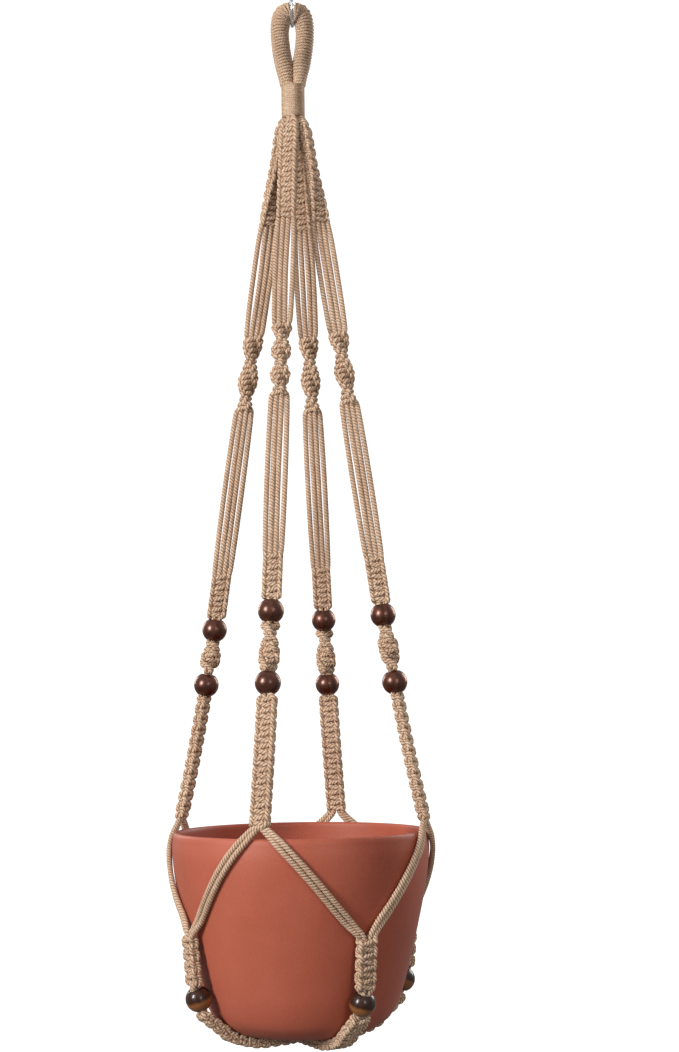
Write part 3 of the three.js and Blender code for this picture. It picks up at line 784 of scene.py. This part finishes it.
def lay_arm(route, cord, name):
    """A cord's way from the collar to the pot's rim."""
    arm = ARMS[name]
    front = turn_to_front(arm["azimuth"])
    lead_in, lead_out, landing = (65, 290, 180) if front < 0 else (35, 245, 360)
    spun = 180 * arm["half_turns"]
    odd = spun % 360
    bead_top, bead_bottom = arm["bead"] + BEAD["half_length"], arm["bead"] - BEAD["half_length"]
    low_top, low_bottom = LOWER_BEAD + BEAD["half_length"], LOWER_BEAD - BEAD["half_length"]

    def upper_turn(level):
        start, end = SINNET_TURN
        return ease((level - start) / (end - start)) * front

    def spiral_turn(level):
        return front + spun * (arm["spiral"] - level) / (arm["spiral"] - arm["lower"])

    def bead_turn(level):
        return front + odd + lead_in * (bead_top - level) / (bead_top - bead_bottom)

    def lower_turn(level):
        share = min(1.0, max(0.0, (bead_bottom - level) / (bead_bottom - low_top)))
        return front + lerp(lead_in, lead_out, share) + odd

    def landing_turn(level):
        return odd + lerp(front + lead_out, landing, (low_top - level) / (low_top - low_bottom))

    def lay(piece, rows, turn_at):
        route.lay(f"{name}_{piece}", rows, on_arm(arm, turn_at))

    in_bead = IN_BEAD[cord]
    crowded = (in_bead[0] * 1.5, in_bead[1] * 1.5)
    top = COLLAR["bottom"]
    lay("top_sinnet", straight_rows(crowded, top + 4, top - 1), upper_turn)
    lay("top_sinnet", knotted_rows(cord, top - 2, OPEN_LEVEL, SQUARE), upper_turn)
    lay("upper_cords", open_rows(cord, OPEN_LEVEL, arm["spiral"], arm["upper_gaps"]), upper_turn)
    lay("spiral_knot", knotted_rows(cord, arm["spiral"], arm["lower"], SPIRAL), spiral_turn)
    lay("lower_cords", open_rows(cord, arm["lower"], arm["mid"], arm["lower_gaps"]), lambda _: front + spun)
    lay("bead_sinnet", knotted_rows(cord, arm["mid"], bead_top + 0.3, SQUARE), lambda _: front + odd)
    lay("bead_sinnet", straight_rows(in_bead, bead_top - 1, bead_bottom + 1), bead_turn)
    lay("bead_sinnet", knotted_rows(cord, bead_bottom - 0.3, low_top + 0.3, SQUARE), lower_turn)
    lay("rim_sinnet", straight_rows(in_bead, low_top - 1, low_bottom + 1), landing_turn)
    lay("rim_sinnet", knotted_rows(cord, low_bottom - 0.3, RIM_JOINT, SQUARE), lambda _: landing + odd)


POT_CURVE = spline(POT_OUTLINE, 24)
POT_NORMALS = np.gradient(POT_CURVE, axis=0)[:, ::-1] * (1, -1)
POT_NORMALS /= np.linalg.norm(POT_NORMALS, axis=1)[:, None]


def pot_surface(level):
    """The radius of the pot's outside at a level, and its outward normal there."""
    radius, *normal = at_places(level, POT_CURVE[:, 1], np.column_stack([POT_CURVE[:, 0], POT_NORMALS]))
    return radius, normal


def on_pot(level, standoff):
    """How far from the axis the middle of a cord is that lies on the pot."""
    radius, normal = pot_surface(min(level, POT_RIM - 6))
    return radius + (standoff + POT_CLEARANCE) / max(0.5, normal[0])


NET_TILT = 44.0  # how steeply the net's pairs cross the pot


def net_points(start_azimuth, end_azimuth, toward, place_in_pair):
    """A cord's way over the pot from a rim sinnet to a side sinnet, as one of a pair.

    `toward` is 1 for a pair that goes to the right and -1 to the left. `place_in_pair` is 1 for
    the pair's upper cord and -1 for its lower.
    """
    top, bottom = RIM_JOINT - 2, SIDE_KNOT["level"] + 2
    points = []
    count = int(math.hypot(top - bottom, top - bottom) / STEP)
    for i in range(count + 1):
        t = i / count
        middle = ease(min(t, 1 - t) / 0.2)
        apart = place_in_pair * lerp(2.05, 2.35, middle)
        tilt = math.radians(NET_TILT) * middle
        level = lerp(top, bottom, t) + apart * math.sin(tilt)
        lying = on_pot(level, OPEN_RADIUS)
        lift = ease(1 - 5 * t) * (arm_radius(top) - lying)
        settle = ease(5 * t - 4) * (SIDE_KNOT["radius"] - lying)
        radius = lying + lift + settle
        spread = toward * (lerp(4.3, -4.3, ease((t - 0.1) / 0.8)) + apart * math.cos(tilt))
        azimuth = lerp(start_azimuth, end_azimuth, t) + math.degrees(spread / radius)
        points.append(polar(radius, azimuth, level))
    return points


def lay_side(route, cord, name):
    """A cord's way down a side sinnet and through the base bead."""
    azimuth = SIDES[name]["azimuth"]
    reach = BEAD["half_length"]
    top = np.array([SIDE_KNOT["radius"], SIDE_KNOT["level"]])
    foot = np.array([BASE_BEAD["radius"] + BASE_BEAD["lean"] * reach, BASE_BEAD["level"] + reach])
    slope = (foot - top) / np.linalg.norm(foot - top)
    facing = np.array([-slope[1], slope[0]])
    bead_slope = np.array([-BASE_BEAD["lean"], -1.0]) / math.hypot(BASE_BEAD["lean"], 1.0)
    bead_facing = np.array([-bead_slope[1], bead_slope[0]])

    def in_sinnet(u, v, level):
        share = (top[1] - level) / (top[1] - foot[1])
        radius, height = lerp(top, foot, share) + facing * v
        return polar(radius, azimuth, height) + sideways(azimuth) * u

    def in_bead(u, v, level):
        below = BASE_BEAD["level"] - level
        radius = BASE_BEAD["radius"] - BASE_BEAD["lean"] * below + bead_facing[0] * v
        return polar(radius, azimuth, level + bead_facing[1] * v) + sideways(azimuth) * u

    route.lay(f"side_sinnet_{name}", knotted_rows(cord, top[1], foot[1] + 0.5, SQUARE), in_sinnet)
    route.lay(f"side_sinnet_{name}",
              straight_rows(IN_BEAD[cord], foot[1] - 1, BASE_BEAD["level"] - reach), in_bead)


WEAVE_PITCH = 4.2
WEAVE_DEPTH = 1.95
WEAVE_EDGE = 10.5  # where the base sinnets end and their cords start to cross
BASE_STANDOFF = 4.9


def base_way():
    """The middle of a base sinnet from its bead to the weave, as radius and level."""
    reach = BEAD["half_length"]
    way = []
    for below in (reach + 0.5, reach + 4):
        way.append((BASE_BEAD["radius"] - BASE_BEAD["lean"] * below, BASE_BEAD["level"] - below))
    for level in (-965, -972):
        radius, normal = pot_surface(level)
        way.append((radius + BASE_STANDOFF * normal[0], level + BASE_STANDOFF * normal[1]))
    under = POT_BASE - BASE_STANDOFF
    way += [(44.0, under), (22.0, under), (WEAVE_EDGE, under)]
    return even(spline(way, 16), 0.5)


BASE_WAY = base_way()


def lay_base(route, cord, name):
    """A cord's way from the base bead to the middle of the pot's underside."""
    azimuth = SIDES[name]["azimuth"]
    at = lengths_along(BASE_WAY)
    slopes = np.gradient(BASE_WAY, axis=0)
    slopes /= np.linalg.norm(slopes, axis=1)[:, None]
    way = np.column_stack([BASE_WAY, -slopes[:, 1], slopes[:, 0]])

    def in_sinnet(u, v, depth):
        radius, level, out, up = at_places(-depth, at, way)
        return polar(radius + v * out, azimuth, level + v * up) + sideways(azimuth) * u

    route.lay("base_cross", knotted_rows(cord, -0.5, -at[-1], SQUARE), in_sinnet)

    lane = (cord - 1.5) * WEAVE_PITCH
    sign = -1 if name == "back_left" else 1
    rows = []
    for radius in np.arange(WEAVE_EDGE - STEP, -0.01, -STEP / 2):
        fade = 1 - ease((radius - 2 * WEAVE_PITCH) / (WEAVE_EDGE - 2 * WEAVE_PITCH))
        over = math.sin(math.pi * radius / WEAVE_PITCH) * math.sin(math.pi * lane / WEAVE_PITCH)
        rows.append((lane, radius, WEAVE_DEPTH * fade * over * sign, OPEN_RADIUS, False))

    def in_weave(u, radius, height):
        return polar(radius, azimuth, POT_BASE - BASE_STANDOFF + height) + sideways(azimuth) * u

    route.lay("base_cross", rows, in_weave)


def cord_route(arm_name, cord):
    """The whole way of one cord that starts in an arm."""
    route = Route()
    lay_arm(route, cord, arm_name)
    if cord in (RIGHT, RIGHT_FILLER):
        toward, end, inner, outer = 1, "from", LEFT_FILLER, LEFT
    else:
        toward, end, inner, outer = -1, "to", RIGHT_FILLER, RIGHT
    side_name = next(name for name, side in SIDES.items() if side[end] == arm_name)
    arm, side = ARMS[arm_name], SIDES[side_name]
    end_azimuth = side["azimuth"] + 360 * round((arm["azimuth"] - side["azimuth"]) / 360)
    from_outside = cord in (LEFT, RIGHT)
    for point in net_points(arm["azimuth"], end_azimuth, toward, 1 if from_outside else -1):
        route.add(point, f"net_{arm_name}_to_{side_name}", OPEN_RADIUS, True)
    side_cord = inner if from_outside else outer
    lay_side(route, side_cord, side_name)
    lay_base(route, side_cord, side_name)
    return route


def make_ropework():
    """Every piece of cord from the collar down, each in place of its CAD node."""
    parts = {}
    for arm_name in ARMS:
        for cord in range(4):
            points, radii, pieces = cord_route(arm_name, cord).finished()
            along = lengths_along(points)
            across, through = carried_frames(points)
            phase = 2 * np.pi * along / PLY_PITCH
            changes = [i for i in range(1, len(pieces)) if pieces[i] != pieces[i - 1]]
            for start, end in zip([0] + changes, changes + [len(pieces) - 1]):
                span = slice(start, end + 1)
                rings = tube_rings(points[span], radii[span], phase[span],
                                   frames=(across[span], through[span]))
                parts.setdefault(str(pieces[start]), MeshParts()).add_tube(rings, along[span])
    for node, mesh in parts.items():
        slot = "jute_cord" if "cords" in node or node.startswith("net_") else "jute_knotted"
        place(mesh.make(f"{node}_twine", JUTE), "rope_hanger", slot, node)


make_ropework()

# ---- the loop and the collar -------------------------------------------------------------

LOOP = {"top": -103.0, "eye_top": -121.4, "eye_bottom": -158.0, "foot": -179.0,
        "limb": 7.7, "foot_limb": 5.4, "spread": 10.35}
WRAP_RADIUS = 1.45
WRAP_PITCH = 2.6
WRAP_PLY_PITCH = -6.0
COLLAR_TWINE = 1.05


def wound(line, reach_at, pitch, per_turn=28):
    """A cord wound round a line. `reach_at(share)` gives its two half widths there."""
    at = lengths_along(line)
    turns = at[-1] / pitch
    across, through = carried_frames(line)
    count = int(turns * per_turn)
    points = []
    for i in range(count + 1):
        angle = 2 * math.pi * turns * i / count
        points.append(on_winding(line, at, across, through, reach_at, i / count, angle))
    return np.array(points)


def on_winding(line, at, across, through, reach_at, share, angle, proud=0.0):
    """A point on a winding round a line, `proud` of it."""
    centre, side, deep = (at_places(share * at[-1], at, rows) for rows in (line, across, through))
    wide, thick = reach_at(share)
    return centre + side * (wide + proud) * math.cos(angle) + deep * (thick + proud) * math.sin(angle)


def limb_line():
    """The loop's centre line, up its left limb, over the crown and down its right limb."""
    spread, crown = LOOP["spread"], (LOOP["top"] + LOOP["eye_top"]) / 2
    half = [(LOOP["foot_limb"] - 0.6, LOOP["foot"]), (5.9, LOOP["eye_bottom"] - 10),
            (spread - 3.2, LOOP["eye_bottom"]), (spread - 0.9, LOOP["eye_bottom"] + 14),
            (spread, LOOP["eye_top"] - 6), (spread * 0.72, crown - 2.6)]
    left = [(-x, 0.0, z) for x, z in half]
    right = [(x, 0.0, z) for x, z in reversed(half)]
    return even(spline(left + [(0.0, 0.0, crown)] + right, 16), 1.0)


def make_loop():
    """A bundle bent into a loop and covered with half hitches, whose turns lock in a ridge."""
    parts = MeshParts()
    line = limb_line()
    at = lengths_along(line)
    across, through = carried_frames(line)
    crown_size = (LOOP["top"] - LOOP["eye_top"]) / 2 / LOOP["limb"]

    def limb_reach(share):
        middle = abs(share - 0.5) * 2
        limb = lerp(LOOP["limb"], LOOP["foot_limb"], ease((middle - 0.68) / 0.32))
        crown = 1 + (crown_size - 1) * max(0.0, 1 - middle * 3)
        return limb * crown - WRAP_RADIUS, limb - WRAP_RADIUS

    parts.add_twine(wound(line, limb_reach, WRAP_PITCH), WRAP_RADIUS, WRAP_PLY_PITCH, groove=0.08)
    bundle = [[on_winding(line, at, across, through, limb_reach, spot / at[-1], angle)
               for angle in np.linspace(0, 2 * math.pi, 24, endpoint=False)] for spot in at]
    parts.add_tube(np.array(bundle), at)
    turns = int(at[-1] / WRAP_PITCH)
    for turn in range(1, turns):
        hitch = []
        for t in np.linspace(-1, 1, 15):
            share = (turn + 0.8 * t) / turns
            lift = 1.35 - 1.5 * t * t
            angle = math.radians(-18 + 38 * t)
            hitch.append(on_winding(line, at, across, through, limb_reach, min(1.0, share), angle, lift))
        parts.add_twine(np.array(hitch), WRAP_RADIUS * 0.8, WRAP_PLY_PITCH)
    foot = np.array([(0.0, 0.0, z) for z in np.linspace(LOOP["foot"] + 2, COLLAR["bottom"] + 1, 12)])
    parts.add_rod(foot, 7.4, 24)
    place(parts.make("hanging_loop_wrapping", SMOOTH_JUTE), "rope_hanger", "jute_knotted", "hanging_loop")


def make_collar():
    """Fine twine wound close round the gathered cords."""
    parts = MeshParts()
    reach = COLLAR["radius"] - COLLAR_TWINE
    levels = np.linspace(COLLAR["top"] - 1.2, COLLAR["bottom"] + 1.2, 40)
    line = np.array([(0.0, 0.0, z) for z in levels])
    coil = wound(line, lambda share: (reach, reach), 2.0, per_turn=40)
    parts.add_twine(coil, COLLAR_TWINE, -5.0, groove=0.06)
    parts.add_rod(line[[0, 10, 20, 30, -1]], reach + 0.5, 40)
    place(parts.make("collar_wrap_winding", SMOOTH_JUTE), "rope_hanger", "jute_cord", "collar_wrap")


make_loop()
make_collar()

# ---- beads and pot -----------------------------------------------------------------------


def bead_profile():
    """A ball with a bore, its two edges rounded over."""
    ball, bore, fillet = BEAD["radius"], BEAD["bore"], 0.7
    edge = math.asin((bore + fillet) / ball)
    outside = [(ball * math.sin(a), -ball * math.cos(a)) for a in np.linspace(edge, math.pi - edge, 33)]
    rim = outside[-1][1]
    rounding = [(bore + fillet * (1 - math.sin(a)), rim - fillet * (1 - math.cos(a)))
                for a in np.linspace(0.5, math.pi / 2, 4)]
    outline = outside + rounding + [(r, -z) for r, z in reversed(rounding)]
    return outline + outline[:1]


def make_bead(name, centre, direction, material, slot):
    obj = new_object(f"{name}_turned", *turned(bead_profile(), 48), material)
    turn = Vector((0.0, 0.0, 1.0)).rotation_difference(Vector(direction))
    spin = Matrix.Rotation(sum(map(ord, name)) % 7 * 0.9, 4, "Z")
    obj.matrix_world = Matrix.Translation(Vector(centre) * MM) @ turn.to_matrix().to_4x4() @ spin
    place(obj, f"{name}_body", slot, name)


def make_beads():
    for name, arm in ARMS.items():
        for which, level in (("upper", arm["bead"]), ("lower", LOWER_BEAD)):
            above, centre, below = (polar(arm_radius(z), arm["azimuth"], z)
                                    for z in (level + 1, level, level - 1))
            make_bead(f"bead_{which}_{name}", centre, above - below, BEAD_WOOD, "bead_wood")
    for name, side in SIDES.items():
        centre = polar(BASE_BEAD["radius"], side["azimuth"], BASE_BEAD["level"])
        axis = polar(BASE_BEAD["lean"], side["azimuth"], 1.0)
        make_bead(f"bead_base_{name}", centre, axis, BASE_BEAD_WOOD, "bead_base_wood")


def make_pot():
    lip = [(106, -818), (105.6, -816.2), (105, -815), (103.6, POT_RIM), (102.2, -814.8), (101.5, -816.4),
           (101.3, -819)]
    inside = []
    for level in (-834, -847, -860, -876, -891, -907, -922, -937, -950, -959):
        radius, normal = pot_surface(level)
        inside.append((radius - POT_WALL * normal[0], level - POT_WALL * normal[1]))
    inside += [(60, -970), (52, POT_FLOOR)]
    wall = np.vstack([spline(POT_OUTLINE, 8), spline(lip, 4)[1:], spline(inside, 3)])
    foot = [(0.0, POT_BASE + 1.2), (36.0, POT_BASE + 1.2), (40.0, POT_BASE + 0.6), (43.0, POT_BASE)]
    profile = foot + [tuple(row) for row in wall] + [(26.0, POT_FLOOR), (0.0, POT_FLOOR)]
    place(new_object("pot_turned", *turned(profile, 160), TERRACOTTA), "pot_body", "terracotta", "pot")


make_beads()
make_pot()

# ---- hardware ----------------------------------------------------------------------------

HOOK = {"wire": 2.7, "inner": 15.0, "lowest": -52.6, "flange": 4.9, "flange_height": 2.0,
        "screw": 2.2, "screw_length": 22.0, "stem": -12.0, "flange_top": -1.3}
S_HOOK = {"wire": 1.5, "bend": 14.3, "tip_angle": 35.0, "cap": 2.3, "cap_length": 11.0,
          "crest": -50.8, "trough": -123.2}


def bent(centre_level, radius, start, end, count):
    """Points round a bend, between two angles in degrees."""
    return [(radius * math.cos(a), centre_level + radius * math.sin(a))
            for a in np.radians(np.linspace(start, end, count))]


def rounded_ends(line, radius):
    """A radius for each point of a line that closes it with a half ball at both ends."""
    at = lengths_along(line)
    left = np.minimum(at, at[-1] - at)
    short = np.clip(1 - left / radius, 0.0, 1.0)
    return radius * np.sqrt(np.maximum(0.02, 1 - short ** 2))


def wire_tube(parts, line, radius, sides=20):
    """A round wire with ball ends, where its rings are closer together."""
    at = lengths_along(line)
    near = np.linspace(0, 1, 8)[1:-1] ** 1.6 * radius
    middle = np.arange(radius, at[-1] - radius, 0.8)
    spots = np.unique(np.concatenate([near, middle, at[-1] - near, [0, at[-1]]]))
    line = at_places(spots, at, line)
    parts.add_rod(line, rounded_ends(line, radius), sides)


def make_ceiling_hook():
    centre = HOOK["lowest"] + HOOK["inner"]
    bend = HOOK["inner"] + HOOK["wire"]
    flange_bottom = HOOK["flange_top"] - HOOK["flange_height"]
    stem = [(0.0, flange_bottom + 0.5), (0.0, HOOK["stem"]), (-5.5, -21.5)]
    way = stem + bent(centre, bend, 150, 390, 13)
    line = even(spline([(x, 0.0, z) for x, z in way], 10), 0.8)
    parts = MeshParts()
    wire_tube(parts, line, HOOK["wire"], 24)
    hook = parts.make("ceiling_hook_dipped_wire", VINYL)
    place(hook, "ceiling_fixing", "hook_coating", "ceiling_hook")

    edge, top, bottom = HOOK["flange"], HOOK["flange_top"], flange_bottom
    profile = [(0.0, bottom - 0.4), (HOOK["wire"] + 0.3, bottom - 0.3), (edge - 0.5, bottom),
               (edge - 0.1, bottom + 0.3), (edge, bottom + 0.8), (edge, top - 0.5),
               (edge - 0.15, top - 0.15), (edge - 0.5, top), (0.0, top)]
    flange = new_object("ceiling_hook_flange", *turned(profile, 48), VINYL)
    place(flange, "ceiling_fixing", "hook_coating", "ceiling_hook")
    make_screw(top)


def make_screw(start):
    """A coarse wood-screw thread: a ridge that winds round a core and runs out at the point."""
    sides, rings, pitch, depth = 32, 150, 2.3, 0.62
    levels = np.linspace(start, HOOK["screw_length"], rings)
    verts = []
    for level in levels:
        left = (HOOK["screw_length"] - level) / 4.0
        size = math.sqrt(min(1.0, max(0.004, left)))
        for i in range(sides):
            angle = 2 * math.pi * i / sides
            turn = (level / pitch + i / sides) % 1.0
            ridge = max(0.0, 1 - abs(turn - 0.5) / 0.26)
            radius = (HOOK["screw"] - depth + depth * ridge) * size
            verts.append((radius * math.cos(angle), radius * math.sin(angle), level))
    around = [(i, (i + 1) % sides) for i in range(sides)]
    faces = [(a + i, a + j, a + sides + j, a + sides + i)
             for a in range(0, (rings - 1) * sides, sides) for i, j in around]
    faces.append(tuple(reversed(range(sides))))
    faces.append(tuple(range((rings - 1) * sides, rings * sides)))
    screw = new_object("ceiling_hook_thread", verts, faces, ZINC)
    place(screw, "ceiling_fixing", "hook_coating", "ceiling_hook")


def s_hook_line():
    """The S-hook's centre line: two open bends joined by a slanting stem."""
    upper = S_HOOK["crest"] - S_HOOK["bend"]
    lower = S_HOOK["trough"] + S_HOOK["bend"]
    crossing = math.degrees(math.asin(2 * S_HOOK["bend"] / (upper - lower)))
    upper_bend = np.array(bent(upper, S_HOOK["bend"], -S_HOOK["tip_angle"], 180 + crossing, 11))
    lower_bend = np.array(bent(lower, S_HOOK["bend"], crossing, -180 - S_HOOK["tip_angle"], 11))
    stem = [lerp(upper_bend[-1], lower_bend[0], share) for share in (0.2, 0.4, 0.6, 0.8)]
    way = np.vstack([upper_bend, stem, lower_bend])
    return even(spline([(0.0, y, z) for y, z in way], 12), 0.5)


def make_s_hook():
    line = s_hook_line()
    parts = MeshParts()
    wire_tube(parts, line, S_HOOK["wire"])
    place(parts.make("s_hook_wire", CHROME), "s_hook_assembly", "s_hook_chrome", "s_hook")
    at = lengths_along(line)
    for tip, way in (("upper", line), ("lower", line[::-1])):
        covered = way[:int(np.searchsorted(at, S_HOOK["cap_length"])) + 1]
        beyond = (covered[0] - covered[2]) / np.linalg.norm(covered[0] - covered[2])
        outer = np.vstack([covered[0] + beyond * 1.6, covered[0] + beyond * 0.8, covered])
        sleeve = sleeve_rings(outer)
        parts = MeshParts()
        parts.add_tube(sleeve, lengths_along(sleeve.mean(axis=1)) + np.arange(len(sleeve)) * 0.01)
        name = f"s_hook_tip_{tip}"
        place(parts.make(f"{name}_sleeve", SLEEVE), "s_hook_assembly", "tip_sleeve", name)


def sleeve_rings(line):
    """Rings that run down the outside of a sleeve from its closed end and back up its bore."""
    cap, bore = S_HOOK["cap"], S_HOOK["wire"] + 0.12
    line = even(line, 0.5)
    across, through = carried_frames(line)
    short = np.maximum(0.0, 1 - lengths_along(line) / cap)
    outside = cap * np.sqrt(np.maximum(0.02, 1 - short ** 2))
    last = len(line) - 1
    order = [*range(last + 1), last, *range(last, 3, -1)]
    radii = [*outside, (cap + bore) / 2] + [bore] * (last - 3)
    return tube_rings(line[order], radii, sides=20, groove=0.0, frames=(across[order], through[order]))


def make_plug():
    """A ribbed nylon plug with a slit foot."""
    length, radius, ribs = 30.0, 3.0, 3
    rib_pitch = (length - 8) / ribs
    profile = [(2.6, -1.0), (3.9, -1.0), (4.2, -0.8), (4.2, -0.1), (4.1, 0.0), (radius, 0.0), (radius, 4.6)]
    for i in range(ribs):
        level = 5 + i * rib_pitch
        profile += [(radius, level), (radius - 0.3, level + 0.5), (radius - 0.35, level + rib_pitch / 2),
                    (radius - 0.1, level + rib_pitch - 0.8)]
    profile += [(radius, length - 3), (2.75, length - 0.3), (2.68, length), (2.6, length), (2.6, -1.0)]
    plug = new_object("wall_plug_moulded", *turned(profile, 48), NYLON)
    cutter = bpy.data.objects.new("slit", bpy.data.meshes.new("slit"))
    place_cutter(cutter, length)
    cut = plug.modifiers.new("slit", "BOOLEAN")
    cut.object = cutter
    cut.solver = "EXACT"
    whole = plug.evaluated_get(bpy.context.evaluated_depsgraph_get())
    slit = bpy.data.meshes.new_from_object(whole)
    plug.modifiers.clear()
    plug.data = slit
    bpy.data.objects.remove(cutter)
    place(plug, "ceiling_fixing", "plug_nylon", "wall_plug")


def place_cutter(cutter, length):
    """A thin blade through the plug's foot, which opens it into two jaws."""
    x, y = 0.45 * MM, 4.5 * MM
    low, high = (length - 17) * MM, (length + 3) * MM
    corners = [(i * x, j * y, k) for i in (-1, 1) for j in (-1, 1) for k in (low, high)]
    faces = [(0, 1, 3, 2), (4, 6, 7, 5), (0, 4, 5, 1), (2, 3, 7, 6), (0, 2, 6, 4), (1, 5, 7, 3)]
    cutter.data.from_pydata(corners, [], faces)
    bpy.context.scene.collection.objects.link(cutter)
    bpy.context.view_layer.update()


make_ceiling_hook()
make_s_hook()
make_plug()

# ---- last update -------------------------------------------------------------------------

bpy.context.view_layer.update()
